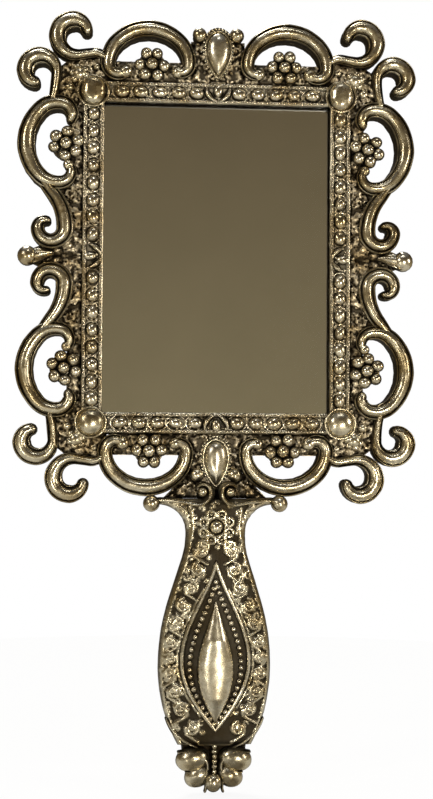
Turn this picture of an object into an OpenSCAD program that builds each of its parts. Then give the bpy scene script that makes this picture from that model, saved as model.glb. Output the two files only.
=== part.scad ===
// Hand mirror with a pierced scroll frame: a flat glass behind a rectangular beaded
// bezel, ornaments soldered round it on a pierced plate, and a domed handle in two halves.
// Origin: middle of the back plate's outer face, behind the middle of the glass.
// +X is to the right, +Z is away from the handle, and the glass looks towards -Y.
// Flat outlines are drawn as seen from the front, and depths are counted from the back face.

/* [Glass] */
// Width of the opening that shows the glass
window_w = 78.8; // [76:0.2:84]
// Height of the opening that shows the glass
window_h = 107.4; // [104:0.2:112]
// How far the bezel laps over the glass
glass_lap = 2; // [1:0.1:2.4]
// Thickness of the glass
glass_t = 2.5; // [2:0.1:3]
// Thickness of the card behind the glass
card_t = 0.7; // [0.4:0.1:1]

/* [Back plate] */
// Thickness of the back plate
back_t = 1.2; // [1:0.1:1.6]
// Radius of the back plate's corners
back_corner_r = 3; // [1:0.5:5]
// Radius of a back screw's thread
screw_r = 1; // [0.8:0.1:1.2]
// Radius of a back screw's head
screw_head_r = 1.9; // [1.6:0.1:2]

/* [Bezel] */
// Width of a bezel strip
bezel_w = 7.2; // [6.6:0.1:7.6]
// Thickness of a bezel strip
bezel_t = 2.2; // [1.8:0.1:2.6]
// Radius of a pearl
pearl_r = 1.9; // [1.6:0.05:2]
// Distance between pearls on the long strips
pearl_pitch = 5.95; // [5.6:0.05:6]

/* [Ornament] */
// Height of a scroll's shoulder above the ground plate
scroll_t = 2.8; // [2:0.1:3.4]
// Height of a scroll's crown above its shoulder
crown_t = 1; // [0.6:0.1:1.4]
// Width of the crown as a share of the scroll's width
crown_share = 0.6; // [0.5:0.05:0.7]
// Radius of a ball in a seven-ball flower
flower_ball_r = 2.1; // [1.8:0.1:2.2]
// Radius of the side knobs
knob_r = 3.1; // [2.6:0.1:3.4]

/* [Handle] */
// Depth of the handle's crown, measured from the back face
handle_d = 11; // [10:0.2:12]
// Radius of the handle's rounded front, across its width
front_dome_r = 40; // [36:1:50]
// Radius of the handle's rounded back, across its width
back_dome_r = 100; // [90:1:140]
// Half the width of the polished drop on the handle
handle_drop_w = 6.2; // [5:0.1:6.4]

/* [Hidden] */
// Fine curves
$fn = 64;
// Finer curves for the wide roundings of the handle
dome_fn = 360;
// Largest turn between two points on an arc, in degrees
arc_step = 15;
// Gap left where two soldered pieces meet side by side
seam = 0.03;
// Half the window
half_w = window_w / 2;
half_h = window_h / 2;
// Half the outside of the bezel
rim_w = half_w + bezel_w;
rim_h = half_h + bezel_w;
// Front of the ground plate, which is level with the front of the glass
ground_d = back_t + card_t + glass_t;
// Front of the bezel strips
bezel_d = ground_d + bezel_t;
// Depth at which the two halves of the handle meet
split_d = (back_t + ground_d) / 2;
// How far the handle's back stays off a table that the back plate lies on
back_lift = 0.4;
// Room round the glass and the card in their pocket
glass_room = 0.15;
// Back plate, half its size
back_w = rim_w + 0.6;
back_h = rim_h + 0.4;
// Back screws, from the middle
screw_x = back_w - screw_head_r - 0.6;
screw_z = back_h - screw_head_r - 0.6;
// How deep a screw goes, and the depth of its head and its slot
screw_len = back_t + 2.8;
screw_head_t = 1;
slot_w = 0.6;
slot_d = 0.5;
// Flowers, beside the top and bottom strips and beside the side strips
flower_top = [half_w - 16.3, half_h + 13.2];
flower_side = [half_w + 13.1, half_h - 15];
flower_ring_r = 4.2;
// Turn of each flower's ring of balls
flower_top_turn = 0;
flower_side_turn = 40;
// Corner bosses and buds
boss_at = [half_w + 3.8, half_h + 3.5];
boss_r = 4.8;
bud_at = [half_w + 8.7, half_h + 9.4];
bud_r = 3.3;
// Where the two curls of a corner meet
curls_meet = [half_w + 17.4, half_h + 16.9];
// Drops in the middle of the top and of the bottom, and their collets
drop_z = half_h + 17.3;
drop_size = [4.3, 7.6];
collet_size = [6, 9.7];
// Balls beside the drops: how far out they sit, and their heights at the top and at the bottom
flank_x = 6.5;
flank_high = 7;
flank_low = -4.1;
flank_r = 2.5;
// Handle: its top edge, the lowest point of its sides, and its tongue's pocket
handle_top = half_h + 29.6;
arm_x = 20.5;
arm_d = 2;
arm_ball_r = 2.9;
tongue_w = 12;
tongue_end = half_h + 96;
tongue_room = 0.1;
rivet_r = 1.5;
rivet_z = [half_h + 42, half_h + 88];
// Marquise field on the handle: top, bottom and half width of each line
field_top = half_h + 50.9;
field_end = half_h + 107.8;
field_w = 11.6;
field_rim = 1.3;
beads_top = half_h + 57.5;
beads_end = half_h + 107;
beads_w = 8.8;
bead_r = 0.95;
bead_count = 40;
drop_top_z = half_h + 62.7;
drop_end_z = half_h + 105.6;
// Share of a marquise's height at which it is widest, as a power
marquise_power = 1.3;
// Finial at the foot of the handle
finial_top = half_h + 112.4;
finial_ball = half_h + 126.9;
finial_ball_r = 3.3;
finial_ball_d = 5.5;
finial_d = 9;

// A point further along an arc of this length and turn
function hop(at, heading, run, turn) =
    at + run * (turn == 0 ? 1 : sin(turn / 2) / (turn * PI / 360))
    * [cos(heading + turn / 2), sin(heading + turn / 2)];

// Points [x, y, heading, width] along arcs. Each step is [radius, turn, width at its end],
// and a step that doesn't turn has its length in place of a radius.
function walk(at, heading, width, steps, i = 0) =
    let(
        turn = steps[i][1],
        run = turn == 0 ? steps[i][0] : steps[i][0] * abs(turn) * PI / 180,
        grow = steps[i][2] - width,
        parts = max(1, ceil(abs(turn) / arc_step)),
        last = i == len(steps) - 1
    )
    concat(
        [
            for (k = [0:parts - (last ? 0 : 1)])
                let(f = k / parts)
                concat(hop(at, heading, run * f, turn * f), [heading + turn * f, width + grow * f])
        ],
        last ? [] : walk(hop(at, heading, run, turn), heading + turn, steps[i][2], steps, i + 1)
    );

// The same points in the opposite order
function turned_back(path) =
    [for (i = [len(path) - 1:-1:0]) [path[i][0], path[i][1], path[i][2] + 180, path[i][3]]];

// A path that runs both ways from its crest
function both_ways(at, heading, width, ahead, behind) =
    let(front = walk(at, heading, width, ahead))
    concat(
        turned_back(walk(at, heading + 180, width, behind)),
        [for (i = [1:len(front) - 1]) front[i]]
    );

// One edge of a ribbon along a path, on its left (1) or its right (-1)
function edge(path, side, share) =
    [
        for (p = path)
            [p[0], p[1]] + side * share * p[3] / 2 * [-sin(p[2]), cos(p[2])]
    ];

// Round end of a ribbon
function round_end(p, share) =
    [
        for (a = [60:-30:-60])
            [p[0], p[1]] + share * p[3] / 2 * [cos(p[2] + a), sin(p[2] + a)]
    ];

function reversed(list) = [for (i = [len(list) - 1:-1:0]) list[i]];

// Drop with its point down, from half its width and half its height
function drop_points(size) =
    [for (a = [0:10:350]) [size.x * sin(a) * pow(sin(a / 2), 0.7) * 1.12, -size.y * cos(a)]];

// Half width of a marquise at a share u of its height from the top
function marquise(u, width) = width * sin(180 * pow(u, marquise_power));

// Marquise from its top to its end, both counted down from the middle of the glass
function marquise_points(top, end, width) =
    let(n = 24)
    concat(
        [for (i = [0:n]) [marquise(i / n, width), -top - (end - top) * i / n]],
        [for (i = [n - 1:-1:1]) [-marquise(i / n, width), -top - (end - top) * i / n]]
    );

// Scroll along the top: it runs over its crest and curls in at both ends
top_path = both_ways(
    [half_w - 15.3, half_h + 25.8], 0, 6,
    [[15.3, -45, 5.6], [11.5, -45, 5.2], [3.6, -135, 4.2]],
    [[15.3, 40, 5.4], [11.4, 50, 4.8], [3, 110, 4]]
);
// Scroll along a side
side_path = both_ways(
    [half_w + 26.7, half_h - 14.8], -90, 6.2,
    [[16.1, -45, 5.6], [8.4, -55, 4.8], [4.2, -80, 3.8], [2.3, -60, 2.8]],
    [[16.6, 45, 5.6], [8.2, 55, 5.4], [4.4, 75, 4.8], [2.4, 30, 4]]
);
// Two hooked curls at a corner
upper_curl_path = walk(
    [half_w + 3.9, half_h + 16.9], -10, 3.2,
    [[4.7, 0, 3.6], [6.6, 100, 6.2], [5.6, 90, 6.2], [4.6, 75, 4.2]]
);
lower_curl_path = walk(
    [half_w + 17.8, half_h + 0.9], 105, 3,
    [[35, -15, 3.6], [5.4, -90, 6], [5.2, -90, 6.2], [4.2, -75, 4.4]]
);
// Hooked S that hangs from the side scroll
mid_path = walk(
    [half_w + 21.6, half_h - 27.1], -130, 3.4,
    [[6.5, 0, 4.8], [18.5, 40, 5.8], [4.8, 90, 5.2], [4.6, 90, 4.8], [2.6, 100, 3.2]]
);
// Right side of the handle, from the arm to the foot
handle_side = walk(
    [arm_x, -handle_top - arm_d], 183, 0,
    [
        [1.5, 0, 0], [9.4, 87, 0], [1.5, 0, 0], [24, 18, 0], [14.5, 0, 0],
        [75, -18, 0], [56, -20, 0], [40, -10, 0], [1, 0, 0]
    ]
);
handle_outline = concat(
    [[-arm_x, -handle_top], [arm_x, -handle_top]],
    [for (p = handle_side) [p[0], p[1]]],
    reversed([for (p = handle_side) [-p[0], p[1]]])
);

// Raises a flat outline between two depths, with its front towards -Y
module slab(from, to) {
    rotate([90, 0, 0])
        translate([0, 0, from])
            linear_extrude(to - from)
                children();
}

// Puts a shape of the top right quarter into any quarter
module quarter(right, up) {
    mirror([right > 0 ? 0 : 1, 0, 0])
        mirror([0, 0, up > 0 ? 0 : 1])
            children();
}

// Round bar that runs from one depth to another
module post(at, from, to, r) {
    translate([at.x, 0, at.y])
        rotate([90, 0, 0])
            translate([0, 0, from])
                cylinder(h = to - from, r = r);
}

// Ball with its middle at a depth
module ball(at, depth, r) {
    translate([at.x, -depth, at.y])
        sphere(r);
}

// Dome on a short foot, seated on the ground plate
module stud(at, r, foot) {
    intersection() {
        ball(at, ground_d + foot - 0.05, r);
        slab(ground_d + foot, ground_d + foot + r)
            translate(at)
                square(4 * r, center = true);
    }
    if (foot > 0)
        post(at, ground_d, ground_d + foot, r - 0.01);
}

// Keeps what lies inside a rounding across the handle's width, raised by a height
module under_dome(height) {
    intersection() {
        children();
        translate([0, front_dome_r - handle_d, -half_h - 140])
            cylinder(h = 160, r = front_dome_r + height, $fn = dome_fn);
    }
}

// Flat ribbon along a path
module ribbon(path, share = 1) {
    last = path[len(path) - 1];
    first = turned_back(path)[len(path) - 1];
    polygon(concat(
        edge(path, 1, share),
        round_end(last, share),
        reversed(edge(path, -1, share)),
        round_end(first, share)
    ));
}

// Outside of the four bezel strips
module rim_outline() {
    square([2 * rim_w, 2 * rim_h], center = true);
}

// Outlines of the scrolls in the top right quarter, trimmed where they meet
module top_scroll_outline(share = 1) {
    offset(delta = -seam)
        difference() {
            ribbon(top_path, share);
            rim_outline();
        }
}

module side_scroll_outline(share = 1) {
    offset(delta = -seam)
        ribbon(side_path, share);
}

module corner_scroll_outline(share = 1) {
    offset(delta = -seam)
        difference() {
            union() {
                ribbon(upper_curl_path, share);
                ribbon(lower_curl_path, share);
                circle_at(curls_meet, 2.2 * share);
            }
            ribbon(top_path);
            ribbon(side_path);
        }
}

module mid_scroll_outline(share = 1) {
    offset(delta = -seam)
        difference() {
            ribbon(mid_path, share);
            ribbon(side_path);
        }
}

// Webs of the ground plate that fill the right half of a quarter
module quarter_webs() {
    translate(flower_top)
        circle(flower_ring_r + 0.8);
    translate(flower_side)
        circle(flower_ring_r + 0.8);
    // bar under the top scroll and its flower
    translate([8, rim_h - 1])
        square([28, 8.5]);
    // bar beside the side scroll and its flower
    translate([rim_w - 1, half_h - 27])
        square([6, 23]);
    // corner, between the two curls and the bezel
    polygon([
        [rim_w - 9, rim_h - 1], [half_w - 1, half_h + 17], [half_w + 12, half_h + 15],
        [half_w + 17, half_h + 11], [half_w + 19, half_h], [rim_w - 1, rim_h - 12]
    ]);
    // side, between the hooked S and the bezel
    polygon([
        [rim_w - 1, half_h - 25], [half_w + 20, half_h - 29], [half_w + 13, half_h - 40],
        [half_w + 15, half_h - 47], [half_w + 26, 1.8], [half_w + 26, -0.1], [rim_w - 1, -0.1]
    ]);
}

// Outline of the ground plate
module ground_outline() {
    offset(delta = -seam)
        difference() {
            union() {
                rim_outline();
                for (right = [-1, 1], up = [-1, 1])
                    scale([right, up])
                        union() {
                            ribbon(top_path);
                            ribbon(side_path);
                            ribbon(upper_curl_path);
                            ribbon(lower_curl_path);
                            ribbon(mid_path);
                            quarter_webs();
                            translate([half_w + 26.1, 0])
                                circle(knob_r - 0.3);
                        }
                // blocks behind the two drops and the balls that flank them
                square([18.8, 2 * (drop_z + 5)], center = true);
                for (up = [-1, 1])
                    translate([0, up * drop_z])
                        union() {
                            polygon(drop_points(collet_size - [0.2, 0.2]));
                            for (right = [-1, 1])
                                circle_at([right * flank_x, up > 0 ? flank_high : flank_low], flank_r - 0.3);
                        }
                // apron above the handle
                polygon([
                    [-18, -handle_top + 0.1], [-8, -rim_h - 12],
                    [8, -rim_h - 12], [18, -handle_top + 0.1]
                ]);
                // tongue inside the handle
                translate([-tongue_w / 2, -tongue_end])
                    square([tongue_w, tongue_end - half_h]);
            }
            square([2 * (half_w + glass_lap + glass_room), 2 * (half_h + glass_lap + glass_room)], center = true);
        }
}

module ground_plate() {
    color("dimgray")
        difference() {
            slab(back_t, ground_d)
                ground_outline();
            for (x = [-screw_x, screw_x], z = [-screw_z, screw_z])
                post([x, z], back_t - 1, screw_len, screw_r);
            for (z = rivet_z)
                post([0, -z], 0, ground_d + 1, rivet_r);
        }
}

module back_plate() {
    color("gray")
        difference() {
            slab(0, back_t)
                union() {
                    square([2 * back_w, 2 * (back_h - back_corner_r)], center = true);
                    square([2 * (back_w - back_corner_r), 2 * back_h], center = true);
                    for (x = [-1, 1], z = [-1, 1])
                        translate([x * (back_w - back_corner_r), z * (back_h - back_corner_r)])
                            circle(back_corner_r);
                }
            for (x = [-screw_x, screw_x], z = [-screw_z, screw_z])
                screw_shape([x, z], 0.05);
        }
}

// Countersunk screw, with room round it for its hole
module screw_shape(at, room = 0) {
    translate([at.x, 0, at.y])
        rotate([90, 0, 0])
            union() {
                cylinder(h = screw_head_t, r1 = screw_head_r + room, r2 = screw_r + room);
                cylinder(h = screw_len, r = screw_r + room);
            }
}

module back_screws() {
    color("silver")
        for (x = [-screw_x, screw_x], z = [-screw_z, screw_z])
            difference() {
                screw_shape([x, z]);
                translate([x, 0, z])
                    cube([2 * screw_head_r + 1, 2 * slot_d, slot_w], center = true);
            }
}

module backing_card() {
    color("saddlebrown")
        slab(back_t, back_t + card_t)
            square([2 * (half_w + glass_lap), 2 * (half_h + glass_lap)], center = true);
}

module mirror_glass() {
    color("lightsteelblue")
        slab(back_t + card_t, ground_d)
            square([2 * (half_w + glass_lap), 2 * (half_h + glass_lap)], center = true);
}

// Bezel strip along +X, whose inner edge is at this height. Its leaf lies across its middle.
module bezel_strip(inner_half, height, pearls, leaf_w, leaf_out) {
    slab(ground_d, bezel_d)
        polygon([
            [-inner_half + seam, height], [inner_half - seam, height],
            [inner_half + bezel_w - seam, height + bezel_w],
            [-inner_half - bezel_w + seam, height + bezel_w]
        ]);
    for (x = pearls, side = [-1, 1])
        ball([side * x, height + 3.6], bezel_d - 0.2, pearl_r);
    slab(ground_d, bezel_d + 0.9)
        leaf(leaf_w, height + 0.6, height + leaf_out);
}

// Pointed leaf between two heights
module leaf(width, from, to) {
    mid = (from + to) / 2;
    bow = (to - from) / 2;
    r = (width * width / 4 + bow * bow) / (2 * bow);
    intersection() {
        translate([0, mid - r + bow])
            circle(r);
        translate([0, mid + r - bow])
            circle(r);
    }
}

top_pearls = [for (k = [0:4]) 7.4 + (pearl_pitch + 0.5) * k];
side_pearls = [for (k = [0:7]) 7.6 + pearl_pitch * k];

module bezel_top() {
    color("darkkhaki")
        bezel_strip(half_w, half_h, top_pearls, 11, bezel_w - 0.2);
}

module bezel_bottom() {
    color("darkkhaki")
        rotate([0, 180, 0])
            bezel_strip(half_w, half_h, top_pearls, 11, bezel_w - 0.2);
}

module bezel_left() {
    color("darkkhaki")
        rotate([0, -90, 0])
            bezel_strip(half_h, half_w, side_pearls, 11, bezel_w + 3.4);
}

module bezel_right() {
    color("darkkhaki")
        rotate([0, 90, 0])
            bezel_strip(half_h, half_w, side_pearls, 11, bezel_w + 3.4);
}

// Dome on the mitre of two strips. A heart has two lobes and a point.
module boss(heart) {
    color("tan")
        intersection() {
            slab(bezel_d, bezel_d + 4)
                union() {
                    circle_at(boss_at, heart ? 3.6 : boss_r);
                    if (heart) {
                        circle_at(boss_at + [-2.4, 1.3], 2.7);
                        circle_at(boss_at + [2.4, 1.3], 2.7);
                    }
                }
            ball(boss_at, bezel_d - 2.2, 5.6);
        }
}

module circle_at(at, r) {
    translate(at)
        circle(r);
}

// Raised collet round a drop, with a ball on each side
module collet(flank_z) {
    slab(ground_d, ground_d + 2.6)
        difference() {
            polygon(drop_points(collet_size));
            offset(delta = 0.05)
                polygon(drop_points(drop_size));
        }
    for (side = [-1, 1])
        union() {
            stud([side * flank_x, flank_z], flank_r, 0.6);
            slab(ground_d, ground_d + 1)
                difference() {
                    translate([side * 3.4 - 2.5, flank_z - 1.5])
                        square([5, 2]);
                    offset(delta = 0.05)
                        polygon(drop_points(drop_size));
                }
        }
}

module collet_top() {
    color("darkkhaki")
        translate([0, 0, drop_z])
            collet(flank_high);
}

module collet_bottom() {
    color("darkkhaki")
        translate([0, 0, -drop_z])
            collet(flank_low);
}

// Polished drop: a domed solid with its point down
module drop_stone(up) {
    color("tan")
        translate([0, 0, up * drop_z])
            intersection() {
                slab(ground_d, ground_d + 5)
                    polygon(drop_points(drop_size));
                ball([0, 0.6], ground_d - 6.2, 10.6);
            }
}

// Scroll bar: a wide shoulder and a narrower crown
module bar(crown) {
    slab(ground_d, ground_d + scroll_t)
        children(0);
    slab(ground_d + scroll_t, ground_d + scroll_t + crown)
        children(1);
}

module top_scroll(right, up) {
    color("darkkhaki")
        quarter(right, up)
            bar(crown_t) {
                top_scroll_outline();
                top_scroll_outline(crown_share);
            }
}

module side_scroll(right, up) {
    color("darkkhaki")
        quarter(right, up)
            bar(crown_t) {
                side_scroll_outline();
                side_scroll_outline(crown_share);
            }
}

module corner_scroll(right, up) {
    color("darkkhaki")
        quarter(right, up)
            bar(crown_t) {
                corner_scroll_outline();
                corner_scroll_outline(crown_share);
            }
}

module mid_scroll(right, up) {
    color("darkkhaki")
        quarter(right, up)
            bar(crown_t) {
                mid_scroll_outline();
                mid_scroll_outline(crown_share);
            }
}

module knob(right) {
    color("tan")
        stud([right * (half_w + 26.1), 0], knob_r, 0.8);
}

// Seven balls on a disc
module flower(at, turn, right, up) {
    color("tan")
        quarter(right, up)
            union() {
                post(at, ground_d, ground_d + 1.4, flower_ring_r + 0.6);
                ball(at, ground_d + 3.1, flower_ball_r);
                for (a = [0:60:300])
                    ball(
                        at + flower_ring_r * [cos(a + turn), sin(a + turn)],
                        ground_d + flower_ball_r, flower_ball_r
                    );
            }
}

module bud(right, up) {
    color("tan")
        quarter(right, up)
            stud(bud_at, bud_r, 0);
}

module handle_front() {
    color("darkkhaki")
        difference() {
            union() {
                under_dome(0)
                    slab(split_d, handle_d + 1)
                        offset(delta = -seam)
                            polygon(handle_outline);
                for (side = [-1, 1])
                    translate([side * arm_x * 1.08, 0, -handle_top - 1.6])
                        union() {
                            ball([0, 0], split_d + arm_ball_r, arm_ball_r);
                            post([0, 0], split_d, split_d + arm_ball_r, arm_ball_r * 0.7);
                        }
            }
            slab(split_d - 3, ground_d + tongue_room)
                tongue_pocket();
            for (z = rivet_z)
                post([0, -z], 0, ground_d + 2.6, rivet_r);
        }
}

module tongue_pocket() {
    translate([-tongue_w / 2 - tongue_room, -tongue_end - tongue_room])
        square([tongue_w + 2 * tongue_room, tongue_end - half_h]);
}

module handle_back() {
    color("gray")
        difference() {
            intersection() {
                slab(0, split_d)
                    offset(delta = -seam)
                        polygon(handle_outline);
                translate([0, -back_dome_r - back_lift, -half_h - 140])
                    cylinder(h = 160, r = back_dome_r, $fn = dome_fn);
            }
            slab(back_t - tongue_room, split_d + 1)
                tongue_pocket();
            for (z = rivet_z)
                post([0, -z], -1, split_d + 1, rivet_r);
        }
}

// Two rivets through the back half, the tongue and the root of the front half
module handle_rivets() {
    color("silver")
        for (z = rivet_z)
            post([0, -z], back_lift + 0.2, ground_d + 2.5, rivet_r - 0.02);
}

// Ornament on the handle: a flat outline raised to a height above the dome
module on_dome(height) {
    difference() {
        under_dome(height)
            slab(split_d + 0.5, handle_d + 3)
                children();
        translate([0, front_dome_r - handle_d, -half_h - 140])
            cylinder(h = 160, r = front_dome_r, $fn = dome_fn);
    }
}

module handle_rim() {
    color("tan")
        on_dome(1.2)
            difference() {
                polygon(marquise_points(field_top, field_end, field_w));
                polygon(marquise_points(field_top + 2.6, field_end - 1.6, field_w - field_rim));
            }
}

module handle_beads() {
    color("tan")
        difference() {
            for (i = [2:bead_count / 2 - 1], side = [-1, 1])
                handle_bead(i / (bead_count / 2), side);
            translate([0, front_dome_r - handle_d, -half_h - 140])
                cylinder(h = 160, r = front_dome_r, $fn = dome_fn);
        }
}

module handle_bead(u, side) {
    x = marquise(u, beads_w);
    ball([side * x, -beads_top - (beads_end - beads_top) * u], dome_depth(x) + 0.4, bead_r);
}

// Depth of the handle's front surface at a distance from its middle
function dome_depth(x) = handle_d - front_dome_r + sqrt(front_dome_r * front_dome_r - x * x);

module handle_drop() {
    w = handle_drop_w;
    rise = 2.6;
    r = (w * w + rise * rise) / (2 * rise);
    color("white")
        difference() {
            intersection() {
                slab(handle_d - 1.5, handle_d + rise)
                    polygon(marquise_points(drop_top_z, drop_end_z, w));
                translate([0, r - handle_d - rise + 0.3, -half_h - 140])
                    cylinder(h = 160, r = r, $fn = dome_fn);
            }
            translate([0, front_dome_r - handle_d, -half_h - 140])
                cylinder(h = 160, r = front_dome_r, $fn = dome_fn);
        }
}

// Band of running scrolls between the marquise and the edge of the handle
module handle_scrolls(side) {
    color("darkkhaki")
        on_dome(0.6)
            difference() {
                intersection() {
                    offset(delta = -1.6)
                        polygon(handle_outline);
                    translate([side > 0 ? 0.4 : -30.4, -field_end])
                        square([30, field_end - handle_top - 20]);
                }
                offset(delta = 0.1)
                    polygon(marquise_points(field_top, field_end, field_w));
            }
}

module neck_flower() {
    color("tan")
        on_dome(1.4)
            translate([0, -handle_top - 9.5])
                union() {
                    circle(2.4);
                    for (a = [0:60:300])
                        translate(4 * [cos(a + 30), sin(a + 30)])
                            circle(1.9);
                }
}

module finial() {
    color("tan")
        union() {
            slab(1, finial_d)
                offset(delta = -seam)
                    difference() {
                        union() {
                            for (side = [-1, 1])
                                union() {
                                    circle_at([side * 7.2, -finial_top - 6.2], 5.4);
                                    circle_at([side * 4.6, -finial_top - 11], 4.8);
                                }
                            translate([-12, -finial_top - 5])
                                square([24, 8]);
                        }
                        polygon(handle_outline);
                    }
            ball([0, -finial_ball], finial_ball_d, finial_ball_r);
        }
}

ground_plate();
back_plate();
back_screws();
backing_card();
mirror_glass();
bezel_top();
bezel_bottom();
bezel_left();
bezel_right();
quarter(-1, 1) boss(true);  // boss_top_left
quarter(1, 1) boss(true);  // boss_top_right
quarter(-1, -1) boss(false);  // boss_bottom_left
quarter(1, -1) boss(false);  // boss_bottom_right
collet_top();
collet_bottom();
drop_stone(1);  // drop_top
drop_stone(-1);  // drop_bottom
top_scroll(-1, 1);  // top_scroll_left
top_scroll(1, 1);  // top_scroll_right
top_scroll(-1, -1);  // bottom_scroll_left
top_scroll(1, -1);  // bottom_scroll_right
side_scroll(-1, 1);  // side_scroll_top_left
side_scroll(1, 1);  // side_scroll_top_right
side_scroll(-1, -1);  // side_scroll_bottom_left
side_scroll(1, -1);  // side_scroll_bottom_right
corner_scroll(-1, 1);  // corner_scroll_top_left
corner_scroll(1, 1);  // corner_scroll_top_right
corner_scroll(-1, -1);  // corner_scroll_bottom_left
corner_scroll(1, -1);  // corner_scroll_bottom_right
mid_scroll(-1, 1);  // mid_scroll_top_left
mid_scroll(1, 1);  // mid_scroll_top_right
mid_scroll(-1, -1);  // mid_scroll_bottom_left
mid_scroll(1, -1);  // mid_scroll_bottom_right
knob(-1);  // knob_left
knob(1);  // knob_right
flower(flower_top, flower_top_turn, -1, 1);  // flower_top_left
flower(flower_top, flower_top_turn, 1, 1);  // flower_top_right
flower(flower_top, flower_top_turn, -1, -1);  // flower_bottom_left
flower(flower_top, flower_top_turn, 1, -1);  // flower_bottom_right
flower(flower_side, flower_side_turn, -1, 1);  // flower_side_top_left
flower(flower_side, flower_side_turn, 1, 1);  // flower_side_top_right
flower(flower_side, flower_side_turn, -1, -1);  // flower_side_bottom_left
flower(flower_side, flower_side_turn, 1, -1);  // flower_side_bottom_right
bud(-1, 1);  // bud_top_left
bud(1, 1);  // bud_top_right
bud(-1, -1);  // bud_bottom_left
bud(1, -1);  // bud_bottom_right
handle_front();
handle_back();
handle_rivets();
handle_rim();
handle_beads();
handle_drop();
handle_scrolls(-1);  // handle_scrolls_left
handle_scrolls(1);  // handle_scrolls_right
neck_flower();
finial();
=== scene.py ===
import math
import random

import bmesh
import bpy
from mathutils import Matrix, Vector, geometry, kdtree, noise


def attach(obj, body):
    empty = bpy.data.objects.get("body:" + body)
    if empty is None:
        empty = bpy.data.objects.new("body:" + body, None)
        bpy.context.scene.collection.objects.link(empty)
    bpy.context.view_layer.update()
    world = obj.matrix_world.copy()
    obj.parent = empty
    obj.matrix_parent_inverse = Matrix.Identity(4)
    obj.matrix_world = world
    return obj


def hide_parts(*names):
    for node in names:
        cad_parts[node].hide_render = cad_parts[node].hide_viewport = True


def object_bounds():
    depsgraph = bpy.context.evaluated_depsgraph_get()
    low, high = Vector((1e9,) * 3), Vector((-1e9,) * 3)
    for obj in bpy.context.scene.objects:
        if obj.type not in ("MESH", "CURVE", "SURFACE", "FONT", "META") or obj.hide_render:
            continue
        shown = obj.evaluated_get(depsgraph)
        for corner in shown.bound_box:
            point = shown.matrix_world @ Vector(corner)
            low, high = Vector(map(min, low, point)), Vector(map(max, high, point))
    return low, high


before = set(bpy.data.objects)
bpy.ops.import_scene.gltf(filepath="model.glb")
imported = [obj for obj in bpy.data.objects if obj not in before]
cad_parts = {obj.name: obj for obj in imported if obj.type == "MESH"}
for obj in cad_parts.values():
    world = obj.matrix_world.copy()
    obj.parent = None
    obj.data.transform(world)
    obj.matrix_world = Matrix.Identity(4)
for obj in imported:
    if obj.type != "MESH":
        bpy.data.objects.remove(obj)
cad_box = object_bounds()

MM = 0.001
HALF_W, HALF_H = 39.4, 53.7
BEZEL_W = 7.2
RIM_W, RIM_H = HALF_W + BEZEL_W, HALF_H + BEZEL_W
GROUND, BEZEL = 4.4, 6.6
HANDLE_TOP = HALF_H + 29.6
DOME_R, HANDLE_D = 40.0, 11.0
# Both need a seed: the noise otherwise starts from the clock
SEED = 11
rng = random.Random(SEED)
noise.seed_set(SEED)
# (side, level, sign of x, sign of z)
CORNERS = [
    ("left", "top", -1, 1), ("right", "top", 1, 1), ("left", "bottom", -1, -1), ("right", "bottom", 1, -1),
]


def rad(a):
    return math.radians(a)


def hop(at, heading, run, turn):
    chord = run if turn == 0 else run * math.sin(rad(turn / 2)) / rad(turn / 2)
    mid = rad(heading + turn / 2)
    return (at[0] + chord * math.cos(mid), at[1] + chord * math.sin(mid))


def walk(at, heading, width, steps, step=5.0, reach=0.8):
    """Points (x, z, heading, width) along arcs. Each step is (radius, turn, width at its end)."""
    out = [(at[0], at[1], heading, width)]
    for radius, turn, end in steps:
        run = radius if turn == 0 else radius * abs(rad(turn))
        parts = max(1, math.ceil(abs(turn) / step), math.ceil(run / reach))
        for k in range(1, parts + 1):
            f = k / parts
            x, z = hop(at, heading, run * f, turn * f)
            out.append((x, z, heading + turn * f, width + (end - width) * f))
        at, heading, width = hop(at, heading, run, turn), heading + turn, end
    return out


def turned_back(path):
    return [(x, z, h + 180, w) for x, z, h, w in reversed(path)]


def both_ways(at, heading, width, ahead, behind):
    return turned_back(walk(at, heading + 180, width, behind)) + walk(at, heading, width, ahead)[1:]


# Half profiles: (place across from the left edge to the right, height, how soiled it is)
RIMMED = [
    (1, 0, 1), (1, 0.45, 0.8), (0.97, 0.6, 0.2), (0.91, 0.68, 0), (0.84, 0.66, 0.1), (0.78, 0.56, 1),
    (0.73, 0.6, 0.7), (0.64, 0.76, 0), (0.47, 0.9, 0), (0.25, 0.985, 0), (0, 1, 0), (-0.24, 0.96, 0),
    (-0.44, 0.86, 0), (-0.58, 0.7, 0.1), (-0.65, 0.58, 0.8), (-0.7, 0.56, 1), (-0.76, 0.66, 0.2),
    (-0.84, 0.74, 0), (-0.92, 0.7, 0), (-0.98, 0.55, 0.3), (-1, 0.4, 0.8), (-1, 0, 1),
]
RIBBED = [
    (1, 0, 1), (1, 0.45, 0.8), (0.95, 0.66, 0.1), (0.84, 0.72, 0), (0.72, 0.64, 0.5), (0.62, 0.56, 1),
    (0.52, 0.74, 0.3), (0.36, 0.92, 0), (0.16, 0.99, 0), (0, 1, 0), (-0.16, 0.99, 0), (-0.36, 0.92, 0),
    (-0.52, 0.74, 0.3), (-0.62, 0.56, 1), (-0.72, 0.64, 0.5), (-0.84, 0.72, 0), (-0.95, 0.66, 0.1),
    (-1, 0.45, 0.8), (-1, 0, 1),
]
PLAIN = [(s, h, 1 if h < 0.1 else 0) for s, h, _ in RIMMED if h not in (0.56, 0.58, 0.6, 0.66)]


def flipped(profile):
    return [(-s, h, soil) for s, h, soil in reversed(profile)]


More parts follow.
